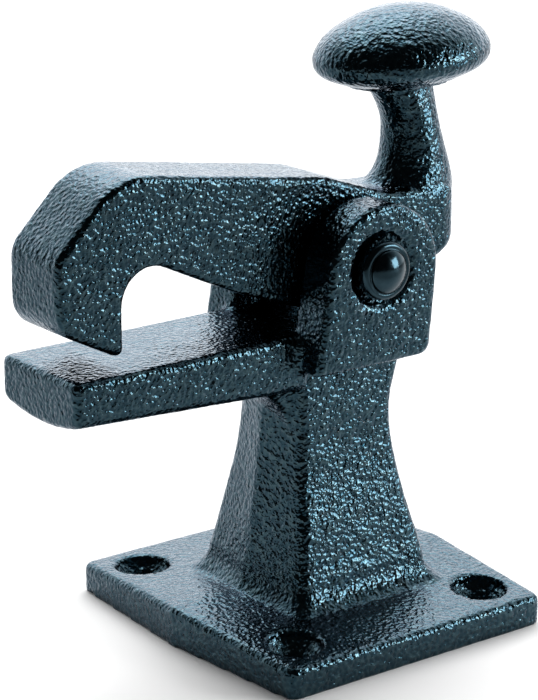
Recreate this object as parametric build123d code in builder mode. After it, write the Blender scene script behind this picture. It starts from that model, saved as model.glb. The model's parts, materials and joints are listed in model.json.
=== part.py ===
from build123d import *
import os
from math import acos, asin, atan2, cos, degrees, radians, sin, sqrt, tan

# Deck-mounted jaw cleat: a cast pedestal with a fixed lower jaw and a clevis,
# and a cast hook lever with a palm pad that turns on a cross pin in the clevis.
# Frame: origin at the centre of the base bolt pattern on the underside,
# +Z up, the jaw points to -X, the parting plane of both castings is y = 0.

# Base plate
base_x = 77.0
base_y = 86.0
base_edge_height = 7.4
base_crown = 2.4
base_bow = 3.2
base_corner_r = 2.6
base_edge_r = 1.6
bolt_spacing_x = 57.0
bolt_spacing_y = 62.0
bolt_hole_r = 3.5
screw_seat_r = 6.8
screw_seat_wall = 1.1

# Column: height, front x, back x, half width and corner radius of each section
column_sections = [
    (15.2, -17.0, 21.2, 19.4, 2.8),
    (22.8, -15.5, 19.6, 17.6, 2.6),
    (30.4, -14.3, 17.8, 15.9, 2.4),
    (41.8, -12.8, 16.0, 13.4, 2.2),
    (53.2, -11.9, 15.7, 12.2, 2.2),
    (60.8, -11.7, 18.0, 11.6, 2.2),
    (68.2, -11.6, 20.2, 11.2, 2.2),
]
parting_ridge = 3.0
foot_fillet = 7.6
foot_bottom = 7.6

# Pivot, ears and slot
pin_x = 3.8
pin_z = 90.6
pin_r = 4.0
ear_x = 4.6
ear_z = 89.9
ear_r = 16.1
ear_inner = 12.0
ear_outer = 22.8
ear_bottom = 67.5
ear_front_lean = 9.6
ear_back_lean = 5.4
ear_corner_r = 3.0
ear_edge_r = 1.2
cap_seat_mouth_r = 9.6
cap_seat_floor_r = 7.9
cap_seat_depth = 1.6

# Lower jaw
jaw_tip_x = -77.3
jaw_half = 15.4
jaw_top = 76.0
jaw_front_bottom = 65.8
jaw_root_x = -12.0
jaw_root_bottom = 62.6
jaw_belly = 2.2
jaw_edge_r = 1.5
jaw_belly_edge_r = 2.6
gusset_reach_x = -25.0
gusset_reach_z = 62.0
gusset_heel_z = 52.0
gusset_half = 9.0
slot_slope = 20.0
heel_clearance = 0.6

# Hook lever
lever_half = 10.0
hub_r = 14.0
bore_clearance = 0.05
nose_x = -77.8
throat_x = -60.5
tip_z = 77.5
throat_r = 8.3
heel_x = 27.2
heel_z = 97.5
heel_r = 11.8
heel_corner_r = 6.0
lever_edge_r = 1.3
underside_near = (-28.3, 87.3)
throat_top = (throat_x, 102.4)
nose_low = (nose_x, 86.4)
nose_high = (nose_x, 103.1)
bevel_top = (-61.1, 120.0)
arm_crest = (-2.0, 111.0)
arm_valley = (16.0, 104.6)
heel_crest_z = 103.2
# Stem: height, centre x, half length and half width of each section
stem_sections = [
    (96.0, 27.0, 14.2, 9.6),
    (100.5, 28.0, 14.0, 9.6),
    (103.2, 29.4, 12.6, 9.5),
    (106.5, 31.0, 10.3, 8.9),
    (110.0, 31.4, 8.8, 8.2),
    (114.5, 31.0, 7.7, 7.6),
    (120.0, 30.1, 7.1, 7.1),
    (131.5, 28.5, 6.6, 6.6),
]

# Palm pad
pad_x = 27.6
pad_z = 135.7
pad_half_x = 23.2
pad_half_y = 18.6
pad_rise = 11.8
pad_drop = 6.5
pad_tilt = 3.4
pad_crown_power = 1.76
pad_belly_power = 2.6

# Pin hardware
washer_r = 9.0
washer_gap = 0.1
cap_r = 7.1
cap_shoulder_r = 5.4
cap_shoulder_y = 24.9
cap_top_y = 27.0
cap_wall = 0.9
lock_washer_t = 0.9
pin_end_y = 24.6

os.makedirs("parts", exist_ok=True)


def section_points(front, back, half, spread=0.0):
    """Corners of a horizontal column section with its two parting ridges."""
    f = front - spread
    b = back + spread
    h = half + spread
    return [(f, -h), (f - parting_ridge, 0), (f, h), (b, h), (b + parting_ridge, 0), (b, -h)]


def polar(radius, angle, centre_x=pin_x, centre_z=pin_z):
    """Point at an angle in degrees on a circle in the side view."""
    return (centre_x + radius * cos(radians(angle)), centre_z + radius * sin(radians(angle)))


# ---------------------------------------------------------------- base plate
with BuildPart() as base_plate:
    with BuildSketch(Plane.XY):
        with BuildLine():
            Polyline(
                (-base_x / 2, -base_y / 2),
                (-base_x / 2 - base_bow, 0),
                (-base_x / 2, base_y / 2),
                (base_x / 2, base_y / 2),
                (base_x / 2 + base_bow, 0),
                (base_x / 2, -base_y / 2),
                close=True,
            )
        make_face()
        fillet(vertices().filter_by(lambda v: abs(v.Y) > 1), base_corner_r)
    extrude(amount=2 * base_edge_height)
    with BuildSketch(Plane.YZ):
        with BuildLine():
            Polyline(
                (-base_y / 2, 0),
                (base_y / 2, 0),
                (base_y / 2, base_edge_height),
                (0, base_edge_height + base_crown),
                (-base_y / 2, base_edge_height),
                close=True,
            )
        make_face()
    extrude(amount=base_x, both=True, mode=Mode.INTERSECT)
    top_edges = base_plate.faces().filter_by(lambda f: f.normal_at().Z > 0.9).edges()
    fillet(top_edges.filter_by(lambda e: abs(e.center().Y) > 1 or abs(e.center().X) > 20), base_edge_r)

# ------------------------------------------------------------------- column
with BuildPart() as column:
    for height, front, back, half, corner in column_sections:
        with BuildSketch(Plane.XY.offset(height)):
            with BuildLine():
                Polyline(*section_points(front, back, half), close=True)
            make_face()
            fillet(vertices().filter_by(lambda v: abs(v.Y) > 1), corner)
    loft()

with BuildPart() as foot:
    first_height, first_front, first_back, first_half, first_corner = column_sections[0]
    for share in (0.0, 0.12, 0.28, 0.5, 0.75, 1.0):
        height = foot_bottom + share * (first_height - foot_bottom)
        reach = 1 - share
        spread = foot_fillet * (1 - sqrt(1 - reach * reach))
        with BuildSketch(Plane.XY.offset(height)):
            with BuildLine():
                Polyline(*section_points(first_front, first_back, first_half, spread), close=True)
            make_face()
            fillet(vertices().filter_by(lambda v: abs(v.Y) > 1), first_corner + 0.3 * spread)
    loft()

# --------------------------------------------------------------- lower jaw
with BuildPart() as jaw:
    for station, side_bottom in ((jaw_tip_x, jaw_front_bottom), (jaw_root_x, jaw_root_bottom)):
        with BuildSketch(Plane.YZ.offset(station)):
            with BuildLine():
                Polyline(
                    (-jaw_half, side_bottom),
                    (-jaw_half, jaw_top),
                    (jaw_half, jaw_top),
                    (jaw_half, side_bottom),
                )
                ThreePointArc(
                    (jaw_half, side_bottom),
                    (0, side_bottom - jaw_belly),
                    (-jaw_half, side_bottom),
                )
            make_face()
            fillet(vertices().group_by(Axis.Y)[0], jaw_belly_edge_r)
            fillet(vertices().group_by(Axis.Y)[-1], jaw_edge_r)
    loft()
    fillet(jaw.faces().sort_by(Axis.X)[0].edges(), jaw_edge_r)

with BuildPart() as gusset:
    with BuildSketch(Plane.XZ):
        with BuildLine():
            heel = (jaw_root_x - 1.2, gusset_heel_z)
            reach_point = (gusset_reach_x, gusset_reach_z)
            Polyline(
                heel,
                (jaw_root_x + 2, gusset_heel_z),
                (jaw_root_x + 2, gusset_reach_z + 2),
                (gusset_reach_x, gusset_reach_z + 2),
                reach_point,
            )
            TangentArc(reach_point, heel, tangent=(1, -0.08))
        make_face()
    extrude(amount=gusset_half, both=True)

# -------------------------------------------------------------------- ears
front_touch = polar(ear_r, 180 - ear_front_lean, ear_x, ear_z)
back_touch = polar(ear_r, -ear_back_lean, ear_x, ear_z)
front_foot = (front_touch[0] - (front_touch[1] - ear_bottom) * tan(radians(ear_front_lean)), ear_bottom)
back_foot = (back_touch[0] - (back_touch[1] - ear_bottom) * tan(radians(ear_back_lean)), ear_bottom)
with BuildPart() as head:
    with BuildSketch(Plane.XZ):
        with BuildLine():
            Line(front_foot, front_touch)
            ThreePointArc(front_touch, (ear_x, ear_z + ear_r), back_touch)
            Line(back_touch, back_foot)
            Line(back_foot, front_foot)
        make_face()
        fillet(vertices().group_by(Axis.Y)[0].sort_by(Axis.X)[-1], ear_corner_r)
    extrude(amount=ear_outer, both=True)
    side_faces = head.faces().filter_by(Axis.Y)
    fillet(side_faces.edges(), ear_edge_r)

# ------------------------------------------------- pedestal: one casting
slope_touch = polar(hub_r + heel_clearance, -90 - slot_slope)
slope_start_x = slope_touch[0] + (slope_touch[1] - jaw_top) / tan(radians(slot_slope))
slope_end_x = 2 * base_x
slope_end_z = jaw_top - (slope_end_x - slope_start_x) * tan(radians(slot_slope))
with BuildPart() as pedestal:
    add(base_plate.part)
    add(foot.part)
    add(column.part)
    add(head.part)
    add(jaw.part)
    add(gusset.part)
    # Slot between the ears, with a floor that slopes down under the heel of the lever
    with BuildSketch(Plane.XZ):
        with BuildLine():
            Polyline(
                (jaw_tip_x - 5, jaw_top),
                (slope_start_x, jaw_top),
                (slope_end_x, slope_end_z),
                (slope_end_x, 2 * pin_z),
                (jaw_tip_x - 5, 2 * pin_z),
                close=True,
            )
        make_face()
    extrude(amount=ear_inner, both=True, mode=Mode.SUBTRACT)
    # Conical seats for the pin caps and the cross bore
    with BuildSketch(Plane.XY.offset(pin_z)):
        with BuildLine():
            Polyline(
                (pin_x, ear_outer + 1),
                (pin_x + cap_seat_mouth_r, ear_outer + 1),
                (pin_x + cap_seat_mouth_r, ear_outer),
                (pin_x + cap_seat_floor_r, ear_outer - cap_seat_depth),
                (pin_x + pin_r, ear_outer - cap_seat_depth),
                (pin_x + pin_r, -ear_outer + cap_seat_depth),
                (pin_x + cap_seat_floor_r, -ear_outer + cap_seat_depth),
                (pin_x + cap_seat_mouth_r, -ear_outer),
                (pin_x + cap_seat_mouth_r, -ear_outer - 1),
                (pin_x, -ear_outer - 1),
                close=True,
            )
        make_face()
    revolve(axis=Axis((pin_x, 0, pin_z), (0, 1, 0)), mode=Mode.SUBTRACT)
    # Screw holes: short round wall, conical seat, through hole
    seat_bottom = base_edge_height - screw_seat_wall
    cone_height = screw_seat_r - bolt_hole_r
    with BuildSketch(Plane.XZ):
        with BuildLine():
            Polyline(
                (0, -1),
                (bolt_hole_r, -1),
                (bolt_hole_r, seat_bottom - cone_height),
                (screw_seat_r, seat_bottom),
                (screw_seat_r, 3 * base_edge_height),
                (0, 3 * base_edge_height),
                close=True,
            )
        make_face()
    screw_cutter = revolve(axis=Axis.Z, mode=Mode.PRIVATE)
    with GridLocations(bolt_spacing_x, bolt_spacing_y, 2, 2):
        add(screw_cutter, mode=Mode.SUBTRACT)
pedestal.part.label = "pedestal"
export_step(pedestal.part, "parts/pedestal.step")

# ------------------------------------------------------------- palm pad
with BuildPart() as pad:
    with BuildSketch(Plane.XZ):
        with BuildLine():
            steps = [radians(a) for a in (90, 72, 54, 36, 20, 8, 0)]
            crown = [
                (pad_half_x * cos(t) ** (2 / pad_crown_power), pad_rise * sin(t) ** (2 / pad_crown_power))
                for t in steps
            ]
            belly = [
                (pad_half_x * cos(t) ** (2 / pad_belly_power), -pad_drop * sin(t) ** (2 / pad_belly_power))
                for t in reversed(steps)
            ]
            Spline(*crown, tangents=[(1, -0.12), (0, -1)])
            Spline(*belly, tangents=[(0, -1), (-1, 0)])
            Line((0, -pad_drop), (0, pad_rise))
        make_face()
    revolve(axis=Axis.Z)
    scale(by=(1, pad_half_y / pad_half_x, 1))

# ------------------------------------------------- hook lever: one casting
heel_dx = heel_x - pin_x
heel_dz = heel_z - pin_z
heel_distance = sqrt(heel_dx**2 + heel_dz**2)
heel_bearing = degrees(atan2(heel_dz, heel_dx))
belly_angle = heel_bearing - degrees(acos((hub_r - heel_r) / heel_distance))
underside_dx = pin_x - underside_near[0]
underside_dz = pin_z - underside_near[1]
underside_bearing = degrees(atan2(underside_dz, underside_dx))
underside_turn = degrees(asin(hub_r / sqrt(underside_dx**2 + underside_dz**2)))
hub_front_angle = underside_bearing - underside_turn - 90
arm_corners = [
    (throat_top, throat_r),
    (underside_near, 40.0),
    ((throat_x, tip_z), 1.6),
    (nose_low, 7.0),
    (nose_high, 7.0),
    (bevel_top, 17.0),
    (arm_crest, 20.0),
    (arm_valley, 10.0),
    ((heel_x + heel_r, heel_crest_z), 4.0),
]
with BuildPart() as arm:
    with BuildSketch(Plane.XZ):
        with BuildLine():
            heel_top = (heel_x + heel_r, heel_z)
            Polyline(
                polar(hub_r, hub_front_angle),
                underside_near,
                throat_top,
                (throat_x, tip_z),
                nose_low,
                nose_high,
                bevel_top,
                arm_crest,
                arm_valley,
                (heel_x + heel_r, heel_crest_z),
                heel_top,
            )
            ThreePointArc(
                heel_top,
                polar(heel_r, belly_angle / 2, heel_x, heel_z),
                polar(heel_r, belly_angle, heel_x, heel_z),
            )
            Line(polar(heel_r, belly_angle, heel_x, heel_z), polar(hub_r, belly_angle))
            ThreePointArc(
                polar(hub_r, belly_angle),
                polar(hub_r, (belly_angle + hub_front_angle) / 2),
                polar(hub_r, hub_front_angle),
            )
        make_face()
        for corner_point, corner_radius in arm_corners:
            fillet(vertices().sort_by_distance(corner_point)[0], corner_radius)
    extrude(amount=lever_half, both=True)
    fillet(arm.faces().filter_by(Axis.Y).edges(), lever_edge_r)
    # Rounded back of the heel, seen from above
    with BuildSketch(Plane.XY):
        with BuildLine():
            Polyline(
                (2 * nose_x, -2 * lever_half),
                (2 * nose_x, 2 * lever_half),
                (heel_x + heel_r - heel_corner_r, 2 * lever_half),
                (heel_x + heel_r - heel_corner_r, lever_half),
                (heel_x + heel_r, lever_half),
                (heel_x + heel_r, -lever_half),
                (heel_x + heel_r - heel_corner_r, -lever_half),
                (heel_x + heel_r - heel_corner_r, -2 * lever_half),
                close=True,
            )
        make_face()
        fillet(vertices().group_by(Axis.X)[-1], heel_corner_r)
    extrude(amount=2 * pin_z, mode=Mode.INTERSECT)

with BuildPart() as stem:
    for height, centre_x, half_x, half_y in stem_sections:
        with BuildSketch(Plane.XY.offset(height)):
            with Locations((centre_x, 0)):
                Ellipse(half_x, half_y)
    loft()

with BuildPart() as hook_lever:
    add(arm.part)
    add(stem.part)
    with Locations(Location((pad_x, 0, pad_z), (0, -pad_tilt, 0))):
        add(pad.part)
    with BuildSketch(Plane.XZ):
        with Locations((pin_x, pin_z)):
            Circle(pin_r + bore_clearance)
    extrude(amount=2 * lever_half, both=True, mode=Mode.SUBTRACT)
hook_lever.part.label = "hook_lever"
export_step(hook_lever.part, "parts/hook_lever.step")

# --------------------------------------------------------------- pivot pin
pivot_axis = Axis((pin_x, 0, pin_z), (0, 1, 0))
with BuildPart() as pivot_pin:
    with BuildSketch(Plane.XZ):
        with Locations((pin_x, pin_z)):
            Circle(pin_r)
    extrude(amount=pin_end_y, both=True)
    chamfer(pivot_pin.edges().filter_by(GeomType.CIRCLE), 0.5)
pivot_pin.part.label = "pivot_pin"
export_step(pivot_pin.part, "parts/pivot_pin.step")

# ------------------------------- thrust washers, lock washers and dome caps
washer_inner_y = lever_half + washer_gap
seat_y = ear_outer - cap_seat_depth
with BuildPart() as thrust_washer:
    with BuildSketch(Plane.XZ.offset(washer_inner_y)):
        with Locations((pin_x, pin_z)):
            Circle(washer_r)
            Circle(pin_r, mode=Mode.SUBTRACT)
    extrude(amount=ear_inner - washer_inner_y)

with BuildPart() as lock_washer:
    with BuildSketch(Plane.XZ.offset(seat_y)):
        with Locations((pin_x, pin_z)):
            Circle(cap_r - cap_wall)
            Circle(pin_r, mode=Mode.SUBTRACT)
            with PolarLocations(pin_r + 0.6, 6):
                Rectangle(1.6, 0.7, mode=Mode.SUBTRACT)
    extrude(amount=lock_washer_t)

with BuildPart() as dome_cap:
    with BuildSketch(Plane.XY.offset(pin_z)):
        with BuildLine():
            rim_in = (pin_x + cap_r - cap_wall, -seat_y)
            rim_out = (pin_x + cap_r, -seat_y)
            flange_top = (pin_x + cap_r, -(ear_outer + 0.9))
            flange_shoulder = (pin_x + cap_shoulder_r + 0.5, -cap_shoulder_y)
            groove = (pin_x + cap_shoulder_r, -cap_shoulder_y + 0.25)
            dome_start = (pin_x + cap_shoulder_r - 0.2, -cap_shoulder_y - 0.15)
            Polyline(rim_in, rim_out, flange_top)
            ThreePointArc(flange_top, (pin_x + cap_r - 0.45, -(ear_outer + 1.75)), flange_shoulder)
            Polyline(flange_shoulder, groove, dome_start)
            crown_point = (pin_x, -cap_top_y)
            TangentArc(crown_point, dome_start, tangent=(1, 0))
            pocket_roof = -(pin_end_y + 0.1)
            Polyline(
                crown_point,
                (pin_x, pocket_roof),
                (pin_x + pin_r + 0.1, pocket_roof),
                (pin_x + pin_r + 0.1, -(seat_y + lock_washer_t)),
                (pin_x + cap_r - cap_wall, -(seat_y + lock_washer_t)),
                rim_in,
            )
        make_face()
    revolve(axis=pivot_axis)

pin_hardware = {"thrust_washer": thrust_washer, "lock_washer": lock_washer, "dome_cap": dome_cap}
for name, near_side in pin_hardware.items():
    with BuildPart() as far_side:
        add(near_side.part)
        mirror(about=Plane.XZ, mode=Mode.REPLACE)
    near_side.part.label = name + "_left"
    far_side.part.label = name + "_right"
    export_step(near_side.part, "parts/" + near_side.part.label + ".step")
    export_step(far_side.part, "parts/" + far_side.part.label + ".step")
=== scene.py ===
import json
import math

import bmesh
import bpy
import numpy as np
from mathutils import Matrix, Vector, noise


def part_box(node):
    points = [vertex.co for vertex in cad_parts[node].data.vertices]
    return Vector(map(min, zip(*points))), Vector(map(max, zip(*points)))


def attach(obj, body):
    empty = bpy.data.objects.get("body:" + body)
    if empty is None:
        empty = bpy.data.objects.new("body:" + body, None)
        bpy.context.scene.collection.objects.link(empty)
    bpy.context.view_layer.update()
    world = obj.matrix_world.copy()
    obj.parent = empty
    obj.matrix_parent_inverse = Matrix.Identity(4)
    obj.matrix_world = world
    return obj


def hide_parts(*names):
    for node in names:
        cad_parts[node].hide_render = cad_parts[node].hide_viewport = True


# Looks of a hammertone-painted cast cleat: two castings on a cross pin, in metres, in the CAD frame.
MM = 0.001

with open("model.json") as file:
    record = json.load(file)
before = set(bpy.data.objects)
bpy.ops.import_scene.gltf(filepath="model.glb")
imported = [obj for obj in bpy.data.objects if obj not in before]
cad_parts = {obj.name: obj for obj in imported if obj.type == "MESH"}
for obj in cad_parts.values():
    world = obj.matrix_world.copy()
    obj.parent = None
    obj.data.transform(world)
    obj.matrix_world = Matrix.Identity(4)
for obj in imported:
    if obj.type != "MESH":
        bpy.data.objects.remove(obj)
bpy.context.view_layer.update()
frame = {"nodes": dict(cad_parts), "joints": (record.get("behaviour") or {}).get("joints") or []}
scene = bpy.context.scene
PIVOT = Vector(frame["joints"][0]["pos_m"])


# ---------------------------------------------------------------- node helpers
def new_material(name):
    """A material with an empty tree, its Principled shader and its object-space coordinates."""
    material = bpy.data.materials.new(name)
    material.use_nodes = True
    tree = material.node_tree
    tree.nodes.clear()
    output = tree.nodes.new("ShaderNodeOutputMaterial")
    shader = tree.nodes.new("ShaderNodeBsdfPrincipled")
    coords = tree.nodes.new("ShaderNodeTexCoord")
    tree.links.new(shader.outputs["BSDF"], output.inputs["Surface"])
    return material, tree, shader, coords.outputs["Object"]


def noise_node(tree, vector, scale, detail=2.0, rough=0.5):
    node = tree.nodes.new("ShaderNodeTexNoise")
    node.inputs["Scale"].default_value = scale
    node.inputs["Detail"].default_value = detail
    node.inputs["Roughness"].default_value = rough
    tree.links.new(vector, node.inputs["Vector"])
    return node


def range_node(tree, value, low, high, to_low, to_high):
    node = tree.nodes.new("ShaderNodeMapRange")
    tree.links.new(value, node.inputs["Value"])
    for name, number in (("From Min", low), ("From Max", high), ("To Min", to_low), ("To Max", to_high)):
        node.inputs[name].default_value = number
    return node.outputs["Result"]


def ramp_node(tree, value, stops):
    node = tree.nodes.new("ShaderNodeValToRGB")
    ramp = node.color_ramp
    while len(ramp.elements) < len(stops):
        ramp.elements.new(0.5)
    for element, (position, color) in zip(ramp.elements, stops):
        element.position = position
        element.color = (*color, 1.0)
    tree.links.new(value, node.inputs["Fac"])
    return node.outputs["Color"]


def bump_node(tree, height, distance, strength=1.0, under=None):
    node = tree.nodes.new("ShaderNodeBump")
    node.inputs["Distance"].default_value = distance
    node.inputs["Strength"].default_value = strength
    tree.links.new(height, node.inputs["Height"])
    if under is not None:
        tree.links.new(under, node.inputs["Normal"])
    return node.outputs["Normal"]


# ------------------------------------------------------------------- materials
def hammertone():
    """Dark blue-green hammer enamel: metal flake under lacquer, pulled into ripples 1 to 2 mm across."""
    material, tree, shader, where = new_material("hammertone_enamel")
    warp = noise_node(tree, where, 300.0, 1.0)
    warped = tree.nodes.new("ShaderNodeVectorMath")
    warped.operation = "MULTIPLY_ADD"
    tree.links.new(warp.outputs["Color"], warped.inputs[0])
    warped.inputs[1].default_value = (0.0016, 0.0016, 0.0016)
    tree.links.new(where, warped.inputs[2])
    cells = tree.nodes.new("ShaderNodeTexVoronoi")
    cells.feature = "SMOOTH_F1"
    cells.inputs["Scale"].default_value = 860.0
    cells.inputs["Smoothness"].default_value = 0.35
    tree.links.new(warped.outputs[0], cells.inputs["Vector"])
    ripple = noise_node(tree, where, 1000.0, 1.0, 0.4)
    swell = noise_node(tree, where, 210.0, 1.0, 0.4)
    dimples = bump_node(tree, cells.outputs["Distance"], 0.19 * MM)
    ripples = bump_node(tree, ripple.outputs["Fac"], 0.36 * MM, 1.0, dimples)
    swells = bump_node(tree, swell.outputs["Fac"], 0.35 * MM, 1.0, ripples)
    tree.links.new(swells, shader.inputs["Normal"])
    tone = ramp_node(
        tree,
        cells.outputs["Distance"],
        [(0.1, (0.006, 0.021, 0.031)), (0.4, (0.009, 0.031, 0.045)), (0.8, (0.027, 0.057, 0.070))],
    )
    tree.links.new(tone, shader.inputs["Base Color"])
    shine = range_node(tree, swell.outputs["Fac"], 0.3, 0.7, 0.13, 0.2)
    tree.links.new(shine, shader.inputs["Roughness"])
    shader.inputs["Metallic"].default_value = 1.0
    shader.inputs["Specular Tint"].default_value = (0.74, 0.79, 0.86, 1.0)
    shader.inputs["Coat Weight"].default_value = 0.22
    shader.inputs["Coat Roughness"].default_value = 0.1
    tree.links.new(ripples, shader.inputs["Coat Normal"])
    return material


def cap_enamel():
    """Smooth black-blue gloss on the pressed caps, with a faint ripple."""
    material, tree, shader, where = new_material("cap_enamel")
    ripple = noise_node(tree, where, 500.0, 2.0)
    tree.links.new(bump_node(tree, ripple.outputs["Fac"], 0.05 * MM), shader.inputs["Normal"])
    tone = ramp_node(
        tree,
        ripple.outputs["Fac"],
        [(0.3, (0.016, 0.032, 0.042)), (0.7, (0.022, 0.042, 0.053))],
    )
    tree.links.new(tone, shader.inputs["Base Color"])
    tree.links.new(range_node(tree, ripple.outputs["Fac"], 0.3, 0.7, 0.1, 0.2), shader.inputs["Roughness"])
    shader.inputs["Metallic"].default_value = 1.0
    return material


def turned_steel(name, low, high, roughness):
    """Bare steel with fine machining marks."""
    material, tree, shader, where = new_material(name)
    marks = noise_node(tree, where, 1800.0, 3.0, 0.6)
    tone = ramp_node(tree, marks.outputs["Fac"], [(0.3, low), (0.7, high)])
    tree.links.new(tone, shader.inputs["Base Color"])
    shine = range_node(tree, marks.outputs["Fac"], 0.3, 0.7, roughness - 0.06, roughness + 0.08)
    tree.links.new(shine, shader.inputs["Roughness"])
    tree.links.new(bump_node(tree, marks.outputs["Fac"], 0.02 * MM), shader.inputs["Normal"])
    shader.inputs["Metallic"].default_value = 1.0
    return material


def dark_nylon():
    material, tree, shader, where = new_material("dark_nylon")
    mottle = noise_node(tree, where, 900.0, 3.0)
    tone = ramp_node(tree, mottle.outputs["Fac"], [(0.3, (0.016, 0.016, 0.017)), (0.7, (0.03, 0.03, 0.032))])
    tree.links.new(tone, shader.inputs["Base Color"])
    tree.links.new(bump_node(tree, mottle.outputs["Fac"], 0.03 * MM), shader.inputs["Normal"])
    tree.links.new(range_node(tree, mottle.outputs["Fac"], 0.3, 0.7, 0.45, 0.6), shader.inputs["Roughness"])
    return material


def pale_floor_with_painted_shade():
    """Pale paper with painted shade: its colour is scaled down toward grey on the operator's side (toward
    -Y), where the light falls off.
    """
    material, tree, shader, where = new_material("pale_floor_with_painted_shade")
    paper = noise_node(tree, where, 3.0, 2.0)
    tone = ramp_node(tree, paper.outputs["Fac"], [(0.3, (0.9, 0.9, 0.9)), (0.7, (0.93, 0.93, 0.93))])
    # Painted shade: the paper colour is darkened toward the front (-Y) side, standing in for the light
    # falling off there.
    outward = tree.nodes.new("ShaderNodeVectorMath")
    outward.operation = "DOT_PRODUCT"
    outward.inputs[1].default_value = (0.1, -1.0, 0.0)
    tree.links.new(where, outward.inputs[0])
    dim = range_node(tree, outward.outputs["Value"], 0.10, 0.22, 1.0, 0.45)
    shade = tree.nodes.new("ShaderNodeVectorMath")
    shade.operation = "SCALE"
    tree.links.new(tone, shade.inputs[0])
    tree.links.new(dim, shade.inputs["Scale"])
    tree.links.new(shade.outputs[0], shader.inputs["Base Color"])
    shader.inputs["Roughness"].default_value = 0.9
    shader.inputs["Specular IOR Level"].default_value = 0.1
    return material


# ---------------------------------------------------------------------- meshes
def applied(piece):
    """Replaces a piece's mesh by the result of its modifiers."""
    bpy.context.view_layer.update()
    graph = bpy.context.evaluated_depsgraph_get()
    mesh = bpy.data.meshes.new_from_object(piece.evaluated_get(graph))
    piece.modifiers.clear()
    piece.data = mesh
    return piece


def new_piece(name, mesh):
    piece = bpy.data.objects.new(name, mesh)
    scene.collection.objects.link(piece)
    return piece


def vertex_array(mesh):
    flat = np.empty(len(mesh.vertices) * 3)
    mesh.vertices.foreach_get("co", flat)
    return flat.reshape(-1, 3)


def cast_skin(node, name, voxel, soften, blends):
    """A casting grown from the shape of its CAD node: even quads, sand-softened edges, and blends
    where its members meet, each a centre, a radius and a number of smoothing rounds."""
    body = bmesh.new()
    body.from_mesh(frame["nodes"][node].data)
    bmesh.ops.remove_doubles(body, verts=body.verts, dist=0.002 * MM)
    mesh = bpy.data.meshes.new(name)
    body.to_mesh(mesh)
    body.free()
    piece = new_piece(name, mesh)
    remesh = piece.modifiers.new("skin", "REMESH")
    remesh.mode = "VOXEL"
    remesh.voxel_size = voxel
    remesh.use_smooth_shade = True
    applied(piece)
    at = vertex_array(piece.data)
    for centre, radius, rounds in blends:
        gap = np.linalg.norm((at - np.array(centre) * MM) / (np.array(radius) * MM), axis=1)
        weight = np.clip(1.5 - 1.5 * gap, 0.0, 1.0)
        group = piece.vertex_groups.new(name="blend")
        for index in np.nonzero(weight > 0.01)[0]:
            group.add([int(index)], float(weight[index]), "REPLACE")
        smooth = piece.modifiers.new("blend", "SMOOTH")
        smooth.factor = 0.5
        smooth.iterations = rounds
        smooth.vertex_group = group.name
    edges = piece.modifiers.new("edges", "SMOOTH")
    edges.factor = 0.5
    edges.iterations = soften
    applied(piece)
    piece.vertex_groups.clear()
    rough_cast(piece.data)
    for polygon in piece.data.polygons:
        polygon.use_smooth = True
    return piece


def rough_cast(mesh):
    """Moves every point along its normal: long sand-mould waves and the pull of the hammer paint."""
    at = vertex_array(mesh)
    normals = np.empty(len(at) * 3)
    mesh.vertex_normals.foreach_get("vector", normals)
    lift = [0.06 * noise.noise(Vector(p) * 90.0) + 0.05 * noise.noise(Vector(p) * 640.0) for p in at]
    at += normals.reshape(-1, 3) * (np.array(lift) * MM)[:, None]
    mesh.vertices.foreach_set("co", at.ravel())
    mesh.update()


def lathe(name, profile, steps=96):
    """A smooth turned piece: (radius, depth) points in millimetres about the pivot axis, depth along Y."""
    shape = bmesh.new()
    rings = []
    for radius, depth in profile:
        if radius == 0.0:
            rings.append([shape.verts.new(PIVOT + Vector((0, depth * MM, 0)))])
            continue
        ring = []
        for step in range(steps):
            turn = 2 * math.pi * step / steps
            offset = Vector((radius * math.cos(turn), depth, radius * math.sin(turn))) * MM
            ring.append(shape.verts.new(PIVOT + offset))
        rings.append(ring)
    for low, high in zip(rings, rings[1:] + rings[:1]):
        for step in range(steps):
            after = (step + 1) % steps
            if len(low) == 1 and len(high) == 1:
                continue
            if len(low) == 1:
                shape.faces.new((low[0], high[step], high[after]))
            elif len(high) == 1:
                shape.faces.new((low[step], low[after], high[0]))
            else:
                shape.faces.new((low[step], low[after], high[after], high[step]))
    bmesh.ops.recalc_face_normals(shape, faces=shape.faces)
    mesh = bpy.data.meshes.new(name)
    shape.to_mesh(mesh)
    shape.free()
    for polygon in mesh.polygons:
        polygon.use_smooth = True
    return new_piece(name, mesh)


def arc(centre, radius, start, end, count):
    """Points of an arc in a lathe profile, angles in degrees."""
    angles = [math.radians(start + (end - start) * i / (count - 1)) for i in range(count)]
    return [(centre[0] + radius * math.cos(a), centre[1] + radius * math.sin(a)) for a in angles]


# Pressed cap, in millimetres: radii, and heights above its seat
CAP_FLANGE_R = 7.1
CAP_WALL = 0.9
CAP_ROLL_R = 1.3
CAP_ROLL_HEIGHT = 2.25
CAP_GROOVE = [(5.62, 3.5), (5.45, 3.42), (5.3, 3.5), (5.22, 3.7)]
CAP_DOME_R = 7.92
CAP_DOME_CENTRE = -2.2
CAP_CROWN = 5.72
CAP_POCKET = [(0.0, 3.4), (4.2, 3.3), (4.2, 0.9), (6.2, 0.9)]


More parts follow.
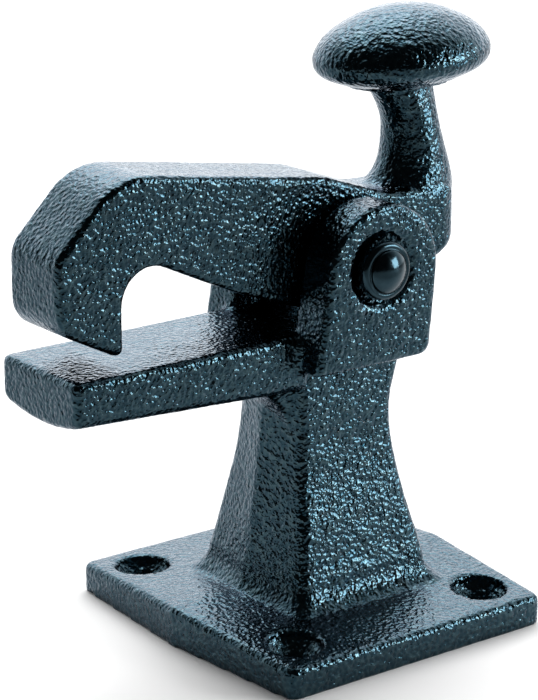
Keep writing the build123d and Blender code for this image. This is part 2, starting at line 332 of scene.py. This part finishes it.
def dome_cap(side):
    """The pressed cap over one pin end: rolled flange, groove and dome. side is -1 or +1."""
    seat = (-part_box("dome_cap_left")[1].y if side < 0 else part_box("dome_cap_right")[0].y) / MM
    profile = [(CAP_FLANGE_R - CAP_WALL, 0.0), (CAP_FLANGE_R - 0.35, 0.0), (CAP_FLANGE_R, 0.3)]
    profile += arc((CAP_FLANGE_R - CAP_ROLL_R, CAP_ROLL_HEIGHT), CAP_ROLL_R, 0, 78, 8)
    profile += CAP_GROOVE
    profile += arc((0.0, CAP_DOME_CENTRE), CAP_DOME_R, 48, 90, 12)[:-1]
    profile += [(0.0, CAP_CROWN)] + CAP_POCKET
    placed = [(radius, side * (seat + height)) for radius, height in profile]
    return lathe("pin_cap_left" if side < 0 else "pin_cap_right", placed)


# ---------------------------------------------------------------------- pieces
paint = hammertone()

pedestal = cast_skin(
    "pedestal",
    "pedestal_casting",
    voxel=0.66 * MM,
    soften=3,
    blends=[
        ((-14.0, 15.5, 71.0), (5.0, 6.0, 9.0), 30),
        ((-14.0, -15.5, 71.0), (5.0, 6.0, 9.0), 30),
        ((-15.0, 0.0, 62.0), (12.0, 18.0, 10.0), 40),
        ((19.0, 0.0, 67.0), (9.0, 24.0, 9.0), 30),
        ((0.0, 0.0, 9.0), (34.0, 34.0, 6.0), 8),
    ],
)
hook = cast_skin(
    "hook_lever",
    "hook_lever_casting",
    voxel=0.5 * MM,
    soften=5,
    blends=[
        ((28.0, 0.0, 105.0), (18.0, 14.0, 9.0), 45),
        ((28.0, 0.0, 129.0), (11.0, 11.0, 4.0), 20),
    ],
)
for piece, node, body in ((pedestal, "pedestal", "pedestal_body"), (hook, "hook_lever", "lever_body")):
    piece.data.materials.clear()
    piece.data.materials.append(paint)
    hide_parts(node)
    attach(piece, body)

enamel = cap_enamel()
for side, node in ((-1, "dome_cap_left"), (1, "dome_cap_right")):
    cap = dome_cap(side)
    cap.data.materials.append(enamel)
    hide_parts(node)
    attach(cap, "pedestal_body")

finishes = {
    "pivot_pin": turned_steel("pin_steel", (0.32, 0.32, 0.33), (0.5, 0.5, 0.51), 0.25),
    "lock_washer": turned_steel("spring_steel", (0.2, 0.2, 0.21), (0.34, 0.34, 0.35), 0.35),
    "thrust_washer": dark_nylon(),
}
for node, piece in frame["nodes"].items():
    for start, finish in finishes.items():
        if node.startswith(start):
            piece.data.materials.clear()
            piece.data.materials.append(finish)


# ----------------------------------------------------------- floor, light, camera
def stage_floor():
    mesh = bpy.data.meshes.new("floor")
    reach = 3.0
    corners = [(-reach, -reach, 0), (reach, -reach, 0), (reach, reach, 0), (-reach, reach, 0)]
    mesh.from_pydata(corners, [], [(0, 1, 2, 3)])
    floor = new_piece("floor", mesh)
    floor.data.materials.append(pale_floor_with_painted_shade())


def soft_light(name, place, target, width, height, power):
    data = bpy.data.lights.new(name, "AREA")
    data.shape = "RECTANGLE"
    data.size = width
    data.size_y = height
    data.energy = power
    light = bpy.data.objects.new(name, data)
    light.location = place
    light.rotation_euler = (Vector(target) - Vector(place)).to_track_quat("-Z", "Y").to_euler()
    scene.collection.objects.link(light)


def studio_world(back, front, bearing):
    """A bright surround behind the object and a dim one where the operator stands."""
    world = bpy.data.worlds.new("studio")
    world.use_nodes = True
    tree = world.node_tree
    background = tree.nodes["Background"]
    coords = tree.nodes.new("ShaderNodeTexCoord")
    away = tree.nodes.new("ShaderNodeVectorMath")
    away.operation = "DOT_PRODUCT"
    away.inputs[1].default_value = (math.sin(bearing), math.cos(bearing), 0.0)
    tree.links.new(coords.outputs["Generated"], away.inputs[0])
    level = range_node(tree, away.outputs["Value"], -0.1, 0.65, front, back)
    tree.links.new(level, background.inputs["Strength"])
    background.inputs["Color"].default_value = (1.0, 1.0, 1.0, 1.0)
    scene.world = world


CAMERA_AZIMUTH = math.radians(37.28)
CAMERA_ELEVATION = math.radians(17.07)
CAMERA_DISTANCE = 0.6474
CAMERA_TARGET = Vector((-0.01232, 0.0, 0.06857))
CAMERA_LENS = 139.9


def studio_camera():
    level = math.cos(CAMERA_ELEVATION)
    toward = Vector(
        (
            -math.sin(CAMERA_AZIMUTH) * level,
            -math.cos(CAMERA_AZIMUTH) * level,
            math.sin(CAMERA_ELEVATION),
        )
    )
    data = bpy.data.cameras.new("camera")
    data.sensor_width = 36.0
    data.lens = CAMERA_LENS
    data.clip_start = 0.01
    camera = bpy.data.objects.new("camera", data)
    camera.location = CAMERA_TARGET + toward * CAMERA_DISTANCE
    camera.rotation_euler = (-toward).to_track_quat("-Z", "Y").to_euler()
    scene.collection.objects.link(camera)
    scene.camera = camera


stage_floor()
studio_world(back=2.5, front=0.03, bearing=CAMERA_AZIMUTH)
soft_light("top_softbox", (0.35, 0.6, 1.0), (0, 0, 0), width=0.9, height=0.9, power=10.0)
soft_light("side_softbox", (0.60, -0.58, 0.26), (0, 0, 0.07), width=0.34, height=0.34, power=6.0)
studio_camera()
scene.view_settings.view_transform = "Standard"
